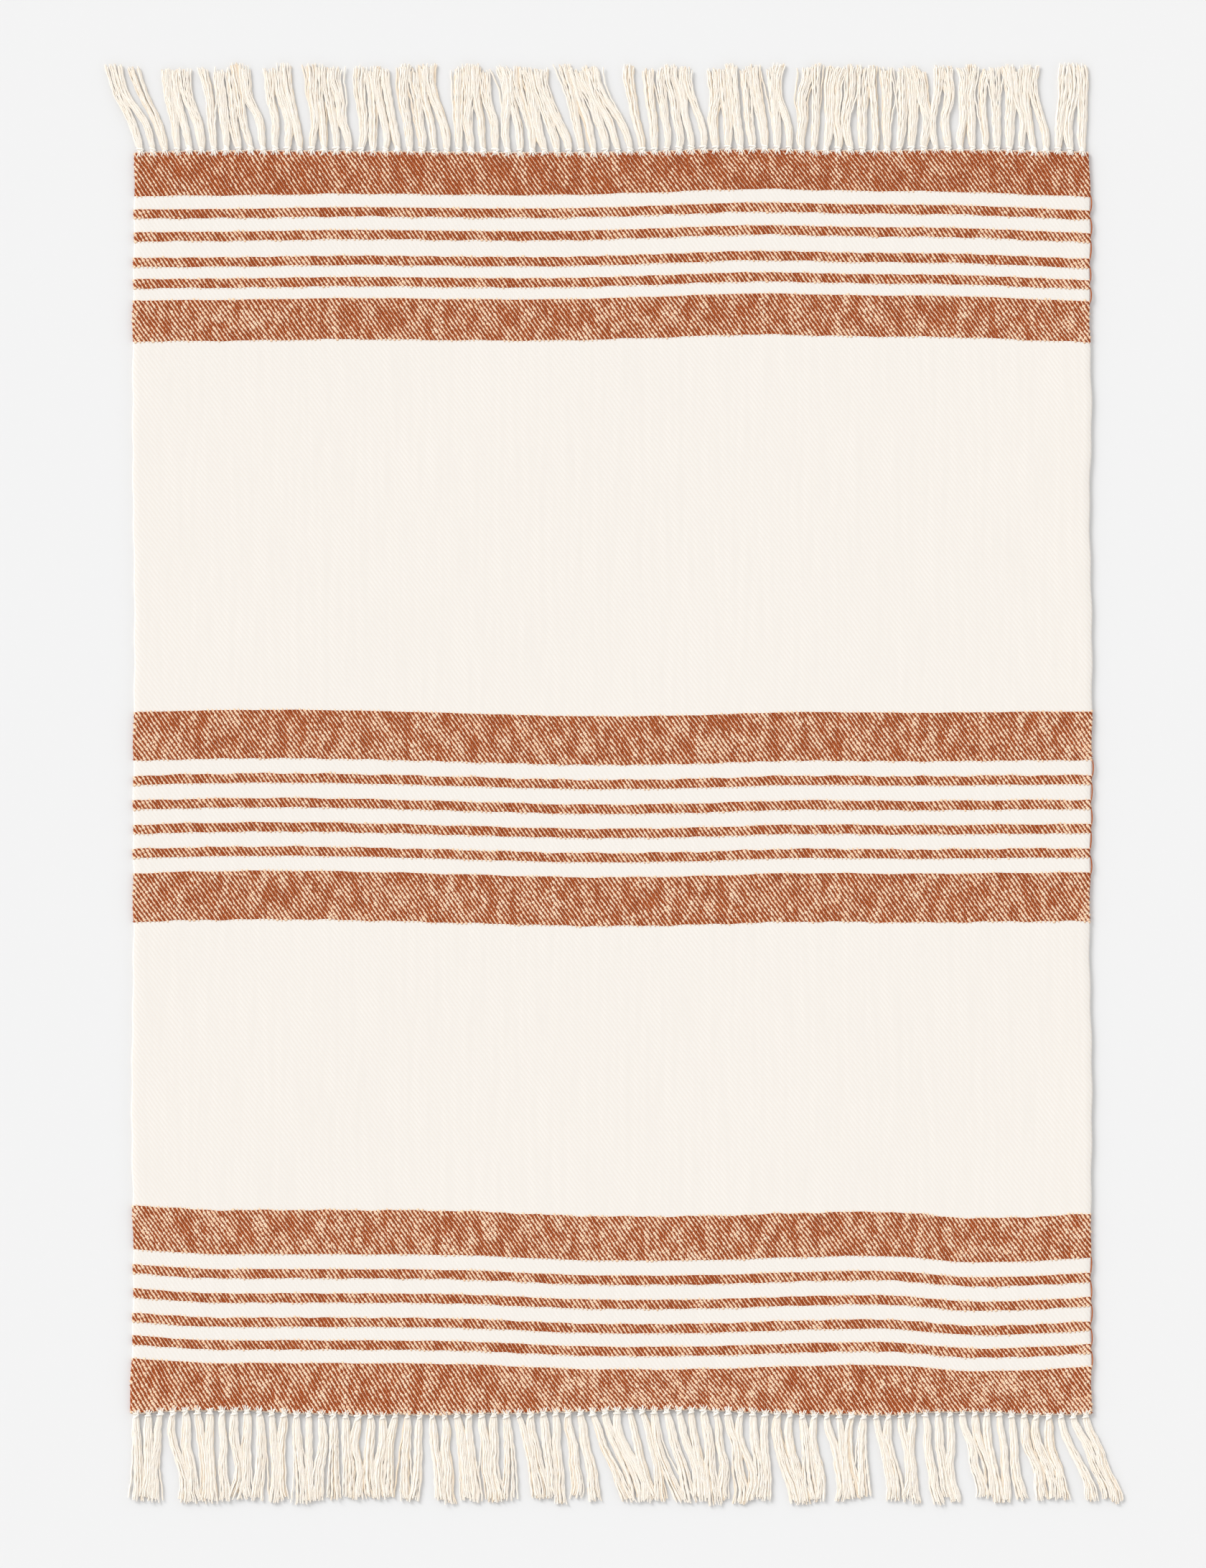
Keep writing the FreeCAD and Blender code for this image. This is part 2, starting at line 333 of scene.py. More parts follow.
def tassel_yarn(tree):
    """Cream yarn with painted shade: warmer and darker the deeper it lies in its tassel."""
    height, waver = fibres(tree, object_place(tree))
    tone = blended(tree, waver, (0.95, 0.87, 0.76, 1), (0.97, 0.91, 0.83, 1))
    # Painted shade: the deeper a yarn lies among its fellows, the more it is blended toward a darker, warmer
    # cream.
    depth_for_painted_shade = place(tree, "ShaderNodeAttribute", attribute_name="depth_for_painted_shade").outputs["Fac"]
    depth = spread(tree, depth_for_painted_shade, 0.6, 1.0, 0.0, 0.55)
    return blended(tree, depth, tone, (0.86, 0.66, 0.43, 1)), height, 0.12 * MM


def weave_group():
    """A 2/2 twill in yarn counts: the weave's height, with warp floats proud, from 0 to 1."""
    inputs = {"Counts": (0.0, 0.0, 0.0)}
    tree, given, result = new_tree("twill weave", "ShaderNodeTree", inputs, {"Height": "NodeSocketFloat"})
    parts = place(tree, "ShaderNodeSeparateXYZ", {0: given["Counts"]}).outputs
    turn = 2 * math.pi
    diagonal = maths(tree, "MULTIPLY", maths(tree, "SUBTRACT", parts[0], parts[1]), turn / TWILL)
    ends = maths(tree, "COSINE", maths(tree, "MULTIPLY", parts[0], turn))
    picks = maths(tree, "COSINE", maths(tree, "MULTIPLY", parts[1], turn))
    floats = maths(tree, "MULTIPLY", maths(tree, "SINE", diagonal), 0.5)
    yarns = maths(tree, "MULTIPLY", maths(tree, "ADD", ends, picks), 0.18)
    wire(tree, result["Height"], maths(tree, "ADD", maths(tree, "ADD", floats, yarns), 0.5))
    return tree


WEAVE = weave_group()


def woven(tree):
    counts = place(tree, "ShaderNodeUVMap", uv_map="YarnCounts").outputs[0]
    group = place(tree, "ShaderNodeGroup", node_tree=WEAVE)
    wire(tree, group.inputs["Counts"], counts)
    return group.outputs["Height"], counts


def streaks(tree, counts, across, along):
    """Soft streaks that run along the warp, across and along being their sizes in yarns."""
    stretched = vector_maths(tree, "MULTIPLY", counts, (1 / across, 1 / along, 0.0))
    return noise(tree, stretched, 1.0, 2.0)


def cream_cloth(tree):
    weave, counts = woven(tree)
    height, _ = fibres(tree, object_place(tree), 7000.0, 900.0)
    streak = spread(tree, streaks(tree, counts, 6.0, 60.0), 0.3, 0.7, 0.0, 1.0)
    tone = blended(tree, streak, CREAM_LOW, CREAM_HIGH)
    # Painted shade: the low parts of the weave are blended toward a darker cream.
    painted_valley_shade = spread(tree, weave, 0.1, 0.8, 0.0, 1.0)
    tone = blended(tree, painted_valley_shade, CREAM_VALLEY_PAINTED_SHADE, tone)
    relief = maths(tree, "ADD", weave, maths(tree, "MULTIPLY", height, 0.5))
    return tone, relief, 0.045 * MM


def rust_ground(tree):
    weave, counts = woven(tree)
    height, waver = fibres(tree, object_place(tree), 7000.0, 700.0)
    streak = spread(tree, streaks(tree, counts, 7.0, 14.0), 0.35, 0.65, 0.0, 1.0)
    tone = blended(tree, streak, RUST_LOW, RUST_HIGH)
    tone = blended(tree, maths(tree, "MULTIPLY", waver, 0.25), tone, RUST_DUSTY)
    relief = maths(tree, "ADD", weave, height)
    return tone, relief, 0.12 * MM


CREAM_LOW = (0.82, 0.78, 0.73, 1)
CREAM_HIGH = (0.855, 0.815, 0.765, 1)
# Painted shade for the low parts of the cream weave.
CREAM_VALLEY_PAINTED_SHADE = (0.81, 0.76, 0.70, 1)
RUST_LOW = (0.29, 0.050, 0.008, 1)
RUST_HIGH = (0.38, 0.075, 0.013, 1)
RUST_DUSTY = (0.48, 0.15, 0.05, 1)

FINISHES = {
    "cream_weft": shaded("cream weft", cream_cloth),
    "rust_weft": shaded("rust weft", rust_ground, sheen=0.0),
    # The floats are cream warp yarn tinted peach: painted light, the glow bounced off the rust weft round
    # them.
    "warp_floats": shaded("cream warp floats", plain_yarn((0.89, 0.58, 0.37), (0.955, 0.72, 0.52))),
    "tassels": shaded("tassel yarn", tassel_yarn),
    "knots": shaded("knotted yarn", plain_yarn((0.90, 0.84, 0.75), (0.95, 0.91, 0.85))),
    "hem_thread": shaded("hem thread", plain_yarn((0.80, 0.62, 0.47), (0.86, 0.76, 0.65))),
    "carried_rust_yarn": shaded("carried rust yarn",
                                plain_yarn((0.38, 0.085, 0.02), (0.50, 0.16, 0.06)), sheen=0.0),
}

# ---------------------------------------------------------------- runs of weft


def slab_section():
    """The slab's outline across the mat, as (x, z), once round: over the top and back below."""
    inner = HALF_WIDTH - SELVEDGE_ROUND
    xs = np.linspace(-inner, inner, COLUMNS)
    half = (SLAB_HIGH - SLAB_LOW) / 2
    middle = (SLAB_HIGH + SLAB_LOW) / 2
    turns = np.radians([45, 90, 135])
    right = [(inner + SELVEDGE_ROUND * math.sin(t), middle + half * math.cos(t)) for t in turns]
    left = [(-x, 2 * middle - z) for x, z in right]
    over = [(x, SLAB_HIGH) for x in xs]
    under = [(x, SLAB_LOW) for x in xs[::-1]]
    return np.array(over + right + under + left)


def slab_faces(rows, ring):
    """Quads of a closed slab whose rows of ring points run from far to near."""
    faces = []
    for row in range(rows - 1):
        for spot in range(ring):
            following = (spot + 1) % ring
            here = row * ring
            below = here + ring
            faces.append((here + spot, below + spot, below + following, here + following))
    ends = ring // 2
    for row, flip in ((0, False), (rows - 1, True)):
        start = row * ring
        for spot in range(ends):
            first = start + (spot - 2) % ring
            second = start + (spot - 1) % ring
            third = start + (ring - spot - 4) % ring
            fourth = start + (ring - spot - 3) % ring
            corners = [first, second, third, fourth]
            corners = list(dict.fromkeys(corners))
            if len(corners) > 2:
                faces.append(tuple(corners[::-1] if flip else corners))
    return faces


def flat_slab(far_y, near_y, step):
    """The slab's flat points and its faces."""
    section = slab_section()
    rows = max(2, int(round((far_y - near_y) / step)) + 1)
    ys = np.linspace(far_y, near_y, rows)
    points = np.zeros((rows, len(section), 3))
    points[:, :, 0] = section[:, 0]
    points[:, :, 1] = ys[:, None]
    points[:, :, 2] = section[:, 1]
    return points.reshape(-1, 3), slab_faces(rows, len(section))


def count_yarns(mesh, flat):
    """Writes a UV map that counts warp ends across and picks along."""
    layer = mesh.uv_layers.new(name="YarnCounts")
    corners = np.zeros(len(mesh.loops), np.int32)
    mesh.loops.foreach_get("vertex_index", corners)
    counts = np.stack([flat[:, 0] / END, -flat[:, 1] / PICK], axis=1)
    layer.data.foreach_set("uv", counts[corners].astype(np.float32).ravel())


def settle(piece, node):
    """Puts the finished piece under its half of the mat, as its run of cloth is; the runs at the fold are
    left in place, under neither half.
    """
    if node in ("middle_stripe_1", "middle_gap_2", "carried_yarn_middle_far", "carried_yarn_middle_near"):
        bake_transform(piece)
    elif node in FAR_NODES:
        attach(piece, FAR_BODY)
    else:
        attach(piece, NEAR_BODY)
    return piece


def smooth(mesh, flat):
    """Smooth shading, but for the slab's two end faces, which meet the next runs."""
    mesh.polygons.foreach_set("use_smooth", [True] * len(mesh.polygons))
    edges = np.zeros(2 * len(mesh.edges), np.int32)
    mesh.edges.foreach_get("vertices", edges)
    ys = flat[edges.reshape(-1, 2), 1]
    sharp = np.zeros(len(mesh.edges), bool)
    for end in (flat[:, 1].max(), flat[:, 1].min()):
        sharp |= (ys == end).all(axis=1)
    mesh.edges.foreach_set("use_edge_sharp", sharp)


def reaches(node):
    """Far and near edges of a node's run of weft. The fold's clearance is woven shut."""
    low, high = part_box(node)
    far_y = FOLD_Y if node == "middle_gap_2" else high[1]
    return far_y, low[1]


def cloth_run(node, finish):
    far_y, near_y = reaches(node)
    step = 0.6 * MM if node in ("middle_stripe_1", "middle_gap_2") else 4.5 * MM
    flat, faces = flat_slab(far_y, near_y, step)
    piece = mesh_object(f"{node}_cloth", lay(flat), faces)
    count_yarns(piece.data, flat)
    smooth(piece.data, flat)
    piece.data.materials.append(FINISHES[finish])
    return piece, flat, faces


# ---------------------------------------------------------------- twill floats


def float_tree():
    """Twill floats on a face of the cloth, each a low lens that is long along its own yarn.

    Lines counts the yarns that float, Across the yarns that they cross. The cloth brings its
    flat points and, as an attribute, where each of them lies.
    """
    inputs = {
        "Cloth": None, "Lines": 1, "Across": 1, "Line pitch": 1.0, "Across pitch": 1.0,
        "Along the weft": False, "Start x": 0.0, "Start y": 0.0, "Face": 0.0, "Shift": 0,
        "Length": 1.0, "Width": 1.0, "Height": 1.0, "Tilt": 0.0, "Turn over": 0.0,
        "Thinnest": 1.0, "Fullness": 1.0, "Sides": 4, "Seed": 0, "Finish": "material",
    }
    outputs = {"Floats": "NodeSocketGeometry"}
    tree, given, result = new_tree("twill floats", "GeometryNodeTree", inputs, outputs)
    whole_repeats = maths(tree, "FLOOR", maths(tree, "DIVIDE", given["Across"], float(TWILL)))
    repeats = maths(tree, "ADD", whole_repeats, 3.0)
    number = place(tree, "GeometryNodeInputIndex").outputs[0]
    line = maths(tree, "FLOOR", maths(tree, "DIVIDE", maths(tree, "ADD", number, 0.5), repeats))
    repeat = maths(tree, "SUBTRACT", number, maths(tree, "MULTIPLY", line, repeats))
    phase = maths(tree, "FLOORED_MODULO", maths(tree, "ADD", line, given["Shift"]), float(TWILL))
    repeat_start = maths(tree, "MULTIPLY", maths(tree, "SUBTRACT", repeat, 1.0), float(TWILL))
    crossing = maths(tree, "ADD", phase, repeat_start)

    along_line = maths(tree, "MULTIPLY", maths(tree, "ADD", line, 0.5), given["Line pitch"])
    along_across = maths(tree, "MULTIPLY", maths(tree, "ADD", crossing, 1.0), given["Across pitch"])
    weft = given["Along the weft"]

    def either(if_warp, if_weft):
        inputs = {0: weft, 1: if_warp, 2: if_weft}
        return place(tree, "GeometryNodeSwitch", inputs, input_type="FLOAT").outputs[0]

    x = maths(tree, "ADD", given["Start x"], either(along_line, along_across))
    y = maths(tree, "SUBTRACT", given["Start y"], either(along_across, along_line))
    flat = vector(tree, x, y, given["Face"])

    count = maths(tree, "MULTIPLY", given["Lines"], repeats)
    spots = place(tree, "GeometryNodePoints", {"Count": count, "Position": flat}).outputs[0]
    before = maths(tree, "LESS_THAN", crossing, either(-1.5, -0.5))
    after = maths(tree, "GREATER_THAN", crossing, maths(tree, "SUBTRACT", given["Across"], either(0.5, 1.5)))
    outside = maths(tree, "ADD", before, after)
    kept = place(tree, "GeometryNodeStoreNamedAttribute", {0: spots, "Name": "flat", "Value": flat},
                 data_type="FLOAT_VECTOR", domain="POINT").outputs[0]
    kept = place(tree, "GeometryNodeDeleteGeometry", {0: kept, 1: outside}, domain="POINT").outputs[0]

    spot = place(tree, "GeometryNodeInputNamedAttribute", {0: "flat"}, data_type="FLOAT_VECTOR").outputs[0]
    laid = place(tree, "GeometryNodeInputNamedAttribute", {0: "laid"}, data_type="FLOAT_VECTOR").outputs[0]
    sample = place(tree, "GeometryNodeSampleNearestSurface",
                   {"Mesh": given["Cloth"], "Value": laid, "Sample Position": spot},
                   data_type="FLOAT_VECTOR").outputs[0]
    jitter = vector(
        tree,
        maths(tree, "MULTIPLY", chance(tree, -0.22, 0.22, given["Seed"]), END),
        maths(tree, "MULTIPLY", chance(tree, -0.28, 0.28, maths(tree, "ADD", given["Seed"], 1.0)), PICK),
    )
    moved = place(tree, "GeometryNodeSetPosition",
                  {0: kept, "Position": vector_maths(tree, "ADD", sample, jitter)}).outputs[0]

    patches = noise(tree, vector_maths(tree, "MULTIPLY", spot, (150.0, 62.0, 1.0)), 1.0, 2.0)
    patches = spread(tree, patches, 0.38, 0.62, given["Thinnest"], 1.30)
    fine = noise(tree, vector_maths(tree, "MULTIPLY", spot, (420.0, 60.0, 1.0)), 1.0, 1.0)
    patches = maths(tree, "MULTIPLY", patches, spread(tree, fine, 0.3, 0.7, 0.68, 1.3))
    edge = maths(tree, "ABSOLUTE", place(tree, "ShaderNodeSeparateXYZ", {0: spot}).outputs[0])
    edge = spread(tree, edge, HALF_WIDTH - 14 * MM, HALF_WIDTH, 0.0, 0.35)
    by_chance = chance(tree, 0.40, 1.55, maths(tree, "ADD", given["Seed"], 2.0))
    own = maths(tree, "MULTIPLY", given["Fullness"], by_chance)
    fullness = maths(tree, "MULTIPLY", maths(tree, "MINIMUM", maths(tree, "ADD", patches, edge), 1.45), own)
    size = vector(
        tree,
        maths(tree, "MULTIPLY", given["Width"], fullness),
        maths(tree, "MULTIPLY", given["Length"], spread(tree, fullness, 0.3, 1.0, 0.8, 1.0)),
        given["Height"],
    )
    turn = chance(tree, -0.09, 0.09, maths(tree, "ADD", given["Seed"], 3.0))
    turn = vector(tree, given["Turn over"], 0.0, maths(tree, "ADD", given["Tilt"], turn))
    shape = place(tree, "GeometryNodeMeshCone", {
        "Vertices": given["Sides"], "Radius Top": 0.0, "Radius Bottom": 0.5, "Depth": 1.0,
    }).outputs[0]
    floats = place(tree, "GeometryNodeInstanceOnPoints", {
        "Points": moved, "Instance": shape, "Rotation": turn, "Scale": size,
    }).outputs[0]
    floats = place(tree, "GeometryNodeRealizeInstances", {0: floats}).outputs[0]
    floats = place(tree, "GeometryNodeSetShadeSmooth", {0: floats, "Shade Smooth": True}).outputs[0]
    floats = place(tree, "GeometryNodeSetMaterial", {0: floats, "Material": given["Finish"]}).outputs[0]
    wire(tree, result["Floats"], floats)
    return tree


FLOATS = float_tree()


def floats_on(node, name, flat, faces, values):
    """Grows floats on a run of cloth that has the given flat points."""
    ground = mesh_object(f"{name}_ground", flat, faces)
    store(ground.data, "laid", "FLOAT_VECTOR", lay(flat))
    far_y, _ = reaches(node)
    values = {"Start x": -HALF_WIDTH, "Start y": far_y, **values}
    return grow(ground, FLOATS, values, name)


# How full the cream floats stand in a run, where it isn't as in the others
FULLNESS = {"far_outer_band": 0.78, "near_inner_band": 1.08, "near_outer_band": 1.08}


def warp_floats(node, flat, faces, under):
    far_y, near_y = reaches(node)
    picks = int(round((far_y - near_y) / PICK))
    side = "under" if under else "top"
    return floats_on(node, f"{node}_warp_{side}", flat, faces, {
        "Lines": WARP_ENDS,
        "Across": picks,
        "Line pitch": END,
        "Across pitch": (far_y - near_y) / picks,
        "Face": SLAB_LOW if under else SLAB_HIGH,
        "Shift": 2 if under else 0,
        "Length": 2.45 * PICK,
        "Width": 1.35 * END if under else 1.85 * END,
        "Height": 0.23 * MM if under else 0.42 * MM,
        "Fullness": FULLNESS.get(node, 1.0),
        "Tilt": math.radians(-20 if under else 20),
        "Turn over": math.pi if under else 0.0,
        "Thinnest": 0.42,
        "Sides": 4 if under else 6,
        "Seed": 11,
        "Finish": FINISHES["warp_floats"],
    })


def weft_floats(node, flat, faces):
    far_y, near_y = reaches(node)
    picks = int(round((far_y - near_y) / PICK))
    return floats_on(node, f"{node}_weft_top", flat, faces, {
        "Lines": picks,
        "Across": WARP_ENDS,
        "Line pitch": (far_y - near_y) / picks,
        "Across pitch": END,
        "Along the weft": True,
        "Face": SLAB_HIGH,
        "Shift": 1,
        "Length": 1.10 * PICK,
        "Width": 2.3 * END,
        "Height": 0.22 * MM,
        "Tilt": math.radians(-16),
        "Thinnest": 1.0,
        "Sides": 4,
        "Seed": 31,
        "Finish": FINISHES["rust_weft"],
    })


def joined(name, pieces):
    """Joins finished meshes into one object under the given name."""
    first = pieces[0]
    with bpy.context.temp_override(active_object=first, selected_editable_objects=pieces):
        bpy.ops.object.join()
    first.name = name
    first.data.name = name
    return first


FAR_NODES = set(frame["record"]["behaviour"]["bodies"][FAR_BODY])
NODES = [part["node"] for part in frame["record"]["subparts"]]
SLOTS = {part["node"]: part["material_slot"] for part in frame["record"]["subparts"]}
going_with = {NEAR_BODY: [], FAR_BODY: []}


def body_of_node(node):
    return FAR_BODY if node in FAR_NODES else NEAR_BODY


for node in NODES:
    if SLOTS[node] not in ("cream_weft", "rust_weft"):
        continue
    piece, flat, faces = cloth_run(node, SLOTS[node])
    if SLOTS[node] == "rust_weft":
        floats = joined(f"{node}_warp_floats",
                        [warp_floats(node, flat, faces, False), warp_floats(node, flat, faces, True)])
        piece = joined(f"{node}_cloth", [piece, weft_floats(node, flat, faces)])
        settle(floats, node)
        going_with[body_of_node(node)].append(floats)
    settle(piece, node)
    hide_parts(node)
    if node in ("far_field", "near_field"):
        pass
    else:
        going_with[body_of_node(node)].append(piece)

# ---------------------------------------------------------------- yarn tubes


def yarn_tree():
    """Turns drawn lines, with their thickness as an attribute, into round yarn."""
    inputs = {"Lines": None, "Sides": 5, "Finish": "material"}
    tree, given, result = new_tree("round yarn", "GeometryNodeTree", inputs, {"Yarn": "NodeSocketGeometry"})
    lines = place(tree, "GeometryNodeMeshToCurve", {0: given["Lines"]}).outputs[0]
    thick = place(tree, "GeometryNodeInputNamedAttribute", {0: "thick"}, data_type="FLOAT").outputs[0]
    ring = place(tree, "GeometryNodeCurvePrimitiveCircle", {
        "Resolution": given["Sides"], "Radius": 0.5,
    }).outputs[0]
    yarn = place(tree, "GeometryNodeCurveToMesh",
                 {"Curve": lines, "Profile Curve": ring, "Scale": thick, "Fill Caps": True}).outputs[0]
    yarn = place(tree, "GeometryNodeRealizeInstances", {0: yarn}).outputs[0]
    yarn = place(tree, "GeometryNodeSetShadeSmooth", {0: yarn, "Shade Smooth": True}).outputs[0]
    yarn = place(tree, "GeometryNodeSetMaterial", {0: yarn, "Material": given["Finish"]}).outputs[0]
    wire(tree, result["Yarn"], yarn)
    return tree


YARN = yarn_tree()


def spun(name, lines, thick, finish, sides=5, depth_for_painted_shade=None):
    """Yarn along lines, an array of (yarns, points, 3), as thick as thick, (yarns, points).

    The depth given last tells how deep among its fellows each yarn lies, from 0 to 1; the tassel yarn's
    painted shade follows it.
    """
    count, steps, _ = lines.shape
    starts = np.arange(count)[:, None] * steps + np.arange(steps - 1)
    edges = np.stack([starts, starts + 1], axis=2).reshape(-1, 2).tolist()
    drawn = mesh_object(f"{name}_lines", lines.reshape(-1, 3), edges=edges)
    store(drawn.data, "thick", "FLOAT", thick)
    store(drawn.data, "depth_for_painted_shade", "FLOAT", np.zeros_like(thick) if depth_for_painted_shade is None else depth_for_painted_shade)
    return grow(drawn, YARN, {"Sides": sides, "Finish": FINISHES[finish]}, name)


# ---------------------------------------------------------------- fringe

# The far fringe from left to right: how many tassels lie together, and how far their tips lean
# to the left, in mm. The near fringe is the same one turned half round.
CLUMPS = [(2, 21), (1, 19.5), (2, 9.5), (1, 11.5), (1, 7), (4, 8.5), (3, 7), (4, 5.5), (4, 4.5),
          (4, 7.5), (4, 4), (6, 11), (5, 17), (1, 9), (1, 4.6), (4, 7.5), (3, 3.5), (2, 6), (2, 4.5),
          (2, -3), (3, -2), (2, 0.5), (1, 1), (3, 1), (2, 0), (1, -1), (1, 0), (1, -0.5), (1, 1.5),
          (2, 2.5), (2, 6), (3, -1.5)]
YARNS_IN_TASSEL = 15
TASSEL_STEPS = 17
YARN_THICK = 1.02 * MM
TASSEL_FLOOR = 0.9 * MM


def tips():
    """Each tassel's sideways shift at its tip, with its clump drawn together."""
    shifts = []
    for count, lean in CLUMPS:
        for place_in_clump in range(count):
            from_middle = place_in_clump - (count - 1) / 2
            gather = 0.34 * from_middle * KNOT_PITCH
            shifts.append(-lean * MM - gather)
    return np.array(shifts)


def hem_line(x, end):
    """Where the hem lies at x, for the far end (1) or the near one (-1)."""
    y = np.full_like(x, FAR_HEM_Y if end > 0 else NEAR_HEM_Y)
    return lay(np.stack([x, y, np.full_like(x, THICK / 2)], axis=1))


def knot_places(end):
    """Middles of the knots from the leading corner on, and the outward direction is end."""
    x = ((np.arange(KNOTS) + 0.5) * KNOT_PITCH - HALF_WIDTH) * end
    spots = hem_line(x, end)
    spots[:, 1] += end * KNOT_OUT
    spots[:, 2] = KNOT_HIGH
    return spots


def tassels(end, seed):
    draw = np.random.default_rng(seed)
    knots = knot_places(end)
    count = KNOTS * YARNS_IN_TASSEL
    owner = np.repeat(np.arange(KNOTS), YARNS_IN_TASSEL)
    along = np.linspace(0, 1, TASSEL_STEPS)
    reach = (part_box("fringe_tassels_far")[1][1]) * np.ones(KNOTS) - np.abs(knots[:, 1])
    reach = reach * draw.uniform(0.96, 1.05, KNOTS)
    lengths = reach[owner] * draw.uniform(0.94, 1.0, count)

    bend = along * along * (3 - 2 * along)
    shift = tips()[owner][:, None] * (0.55 * bend + 0.45 * along)
    bow = draw.normal(0, 1.3 * MM, KNOTS)[owner][:, None] * np.sin(math.pi * along)
    kink = draw.normal(0, 0.8 * MM, KNOTS)[owner][:, None] * np.sin(2 * math.pi * along)
    kink = kink + draw.normal(0, 0.35 * MM, KNOTS)[owner][:, None] * np.sin(4 * math.pi * along)

    side = draw.permuted(np.tile(np.linspace(-1, 1, YARNS_IN_TASSEL), (KNOTS, 1)), axis=1).reshape(-1)
    opening = 1 - np.exp(-along / 0.07)
    half_width = (1.0 + 1.1 * opening + 1.2 * along ** 2) * MM
    fullness = draw.uniform(0.85, 1.25, KNOTS)[owner][:, None]
    across = side[:, None] * half_width * fullness
    loose = np.where(draw.uniform(0, 1, (count, 1)) < 0.18, 2.8, 0.5) * MM
    stray = draw.normal(0, 1, (count, 1)) * loose * along ** 1.6

    height = draw.uniform(0, 1, (count, 1))
    crown = np.sqrt(np.clip(1 - side[:, None] ** 2, 0.05, 1))
    z = TASSEL_FLOOR + 1.1 * MM * height * crown * (1 - 0.2 * along)
    z = KNOT_HIGH * np.exp(-along / 0.07) + z * (1 - np.exp(-along / 0.07))

    phase = draw.uniform(0, 2 * math.pi, (count, 1))
    waves = draw.uniform(3.5, 7, (count, 1))
    crimp = 0.26 * MM * np.sin(2 * math.pi * waves * along + phase) * opening
    lift = 0.14 * MM * np.cos(2 * math.pi * waves * along + 1.3 * phase) * opening

    lines = np.zeros((count, TASSEL_STEPS, 3))
    lines[:, :, 0] = knots[owner, 0][:, None] + end * (shift + bow + kink + across + stray + crimp)
    lines[:, :, 1] = knots[owner, 1][:, None] + end * lengths[:, None] * along
    lines[:, :, 2] = np.maximum(z + lift, TASSEL_FLOOR)
    thick = YARN_THICK * draw.uniform(0.85, 1.15, (count, 1)) * (1 + 0.10 * np.sin(3 * phase + 40 * along))
    thick[:, -1] *= 0.75
    # How deep each yarn lies in its tassel, from 0 to 1, which sets the painted shade on the deeper yarns.
    depth_for_painted_shade = np.repeat(1 - height, TASSEL_STEPS, axis=1)
    return lines, thick, depth_for_painted_shade


def knot_tree():
    """A knot on each point: a core with two turns of yarn drawn round it."""
    inputs = {"Places": None, "Width": 1.0, "Seed": 0, "Finish": "material"}
    outputs = {"Knots": "NodeSocketGeometry"}
    tree, given, result = new_tree("drawn knots", "GeometryNodeTree", inputs, outputs)
    core = place(tree, "GeometryNodeMeshUVSphere", {"Segments": 8, "Rings": 6, "Radius": 0.5}).outputs[0]
    core = place(tree, "GeometryNodeTransform", {0: core, "Scale": (0.84, 0.80, 0.66)}).outputs[0]
    loops = [core]
    for tilt, shift in ((0.42, -0.16), (-0.36, 0.17)):
        path = place(tree, "GeometryNodeCurvePrimitiveCircle", {"Resolution": 12, "Radius": 0.42}).outputs[0]
        path = place(tree, "GeometryNodeTransform", {
            0: path, "Translation": (0.0, shift, 0.0),
            "Rotation": (math.pi / 2, 0.0, tilt), "Scale": (1.0, 1.0, 0.85),
        }).outputs[0]
        ring = place(tree, "GeometryNodeCurvePrimitiveCircle", {"Resolution": 5, "Radius": 0.13}).outputs[0]
        turned = place(tree, "GeometryNodeCurveToMesh", {"Curve": path, "Profile Curve": ring})
        loops.append(turned.outputs[0])
    join = tree.nodes.new("GeometryNodeJoinGeometry")
    for loop in loops[::-1]:
        tree.links.new(loop, join.inputs[0])
    spin = vector(tree, chance(tree, -0.08, 0.08, given["Seed"]), 0.0,
                  chance(tree, -0.5, 0.5, maths(tree, "ADD", given["Seed"], 1.0)))
    by_chance = chance(tree, 0.86, 1.14, maths(tree, "ADD", given["Seed"], 2.0))
    grown = maths(tree, "MULTIPLY", given["Width"], by_chance)
    knots = place(tree, "GeometryNodeInstanceOnPoints", {
        "Points": given["Places"], "Instance": join.outputs[0], "Rotation": spin,
        "Scale": vector(tree, grown, grown, maths(tree, "MULTIPLY", given["Width"], 0.56)),
    }).outputs[0]
    knots = place(tree, "GeometryNodeRealizeInstances", {0: knots}).outputs[0]
    knots = place(tree, "GeometryNodeSetShadeSmooth", {0: knots, "Shade Smooth": True}).outputs[0]
    knots = place(tree, "GeometryNodeSetMaterial", {0: knots, "Material": given["Finish"]}).outputs[0]
    wire(tree, result["Knots"], knots)
    return tree


KNOTTED = knot_tree()
FAN_YARNS = 5
FAN_STEPS = 6


def fan(end, seed):
    """Warp ends that gather from the band into each knot."""
    draw = np.random.default_rng(seed)
    knots = knot_places(end)
    owner = np.repeat(np.arange(KNOTS), FAN_YARNS)
    count = len(owner)
    side = np.tile(np.linspace(-1, 1, FAN_YARNS), KNOTS) + draw.normal(0, 0.08, count)
    inside = draw.uniform(0.7, 3.2, count) * MM
    along = np.linspace(0, 1, FAN_STEPS)
    spread_out = (0.30 + 0.70 * (1 - along[None, :]) ** 1.2) * side[:, None] * 2.6 * MM
    start_y = knots[owner, 1] - end * (KNOT_OUT + inside)
    y = start_y[:, None] + (knots[owner, 1] - start_y)[:, None] * along
    arch = np.sin(math.pi * np.clip(along * 1.1, 0, 1)) * 0.15 * MM
    top = THICK - 0.06 * MM + arch - 0.30 * MM * (1 - along) ** 4
    drop = (top[None, :] - knots[owner, 2][:, None]) * along ** 3 * 0.55
    lines = np.stack([knots[owner, 0][:, None] + spread_out, y, top[None, :] - drop], axis=2)
    thick = np.full((count, FAN_STEPS), 0.72 * MM) * draw.uniform(0.8, 1.15, (count, 1))
    thick[:, 0] *= 0.5
    return lines, thick


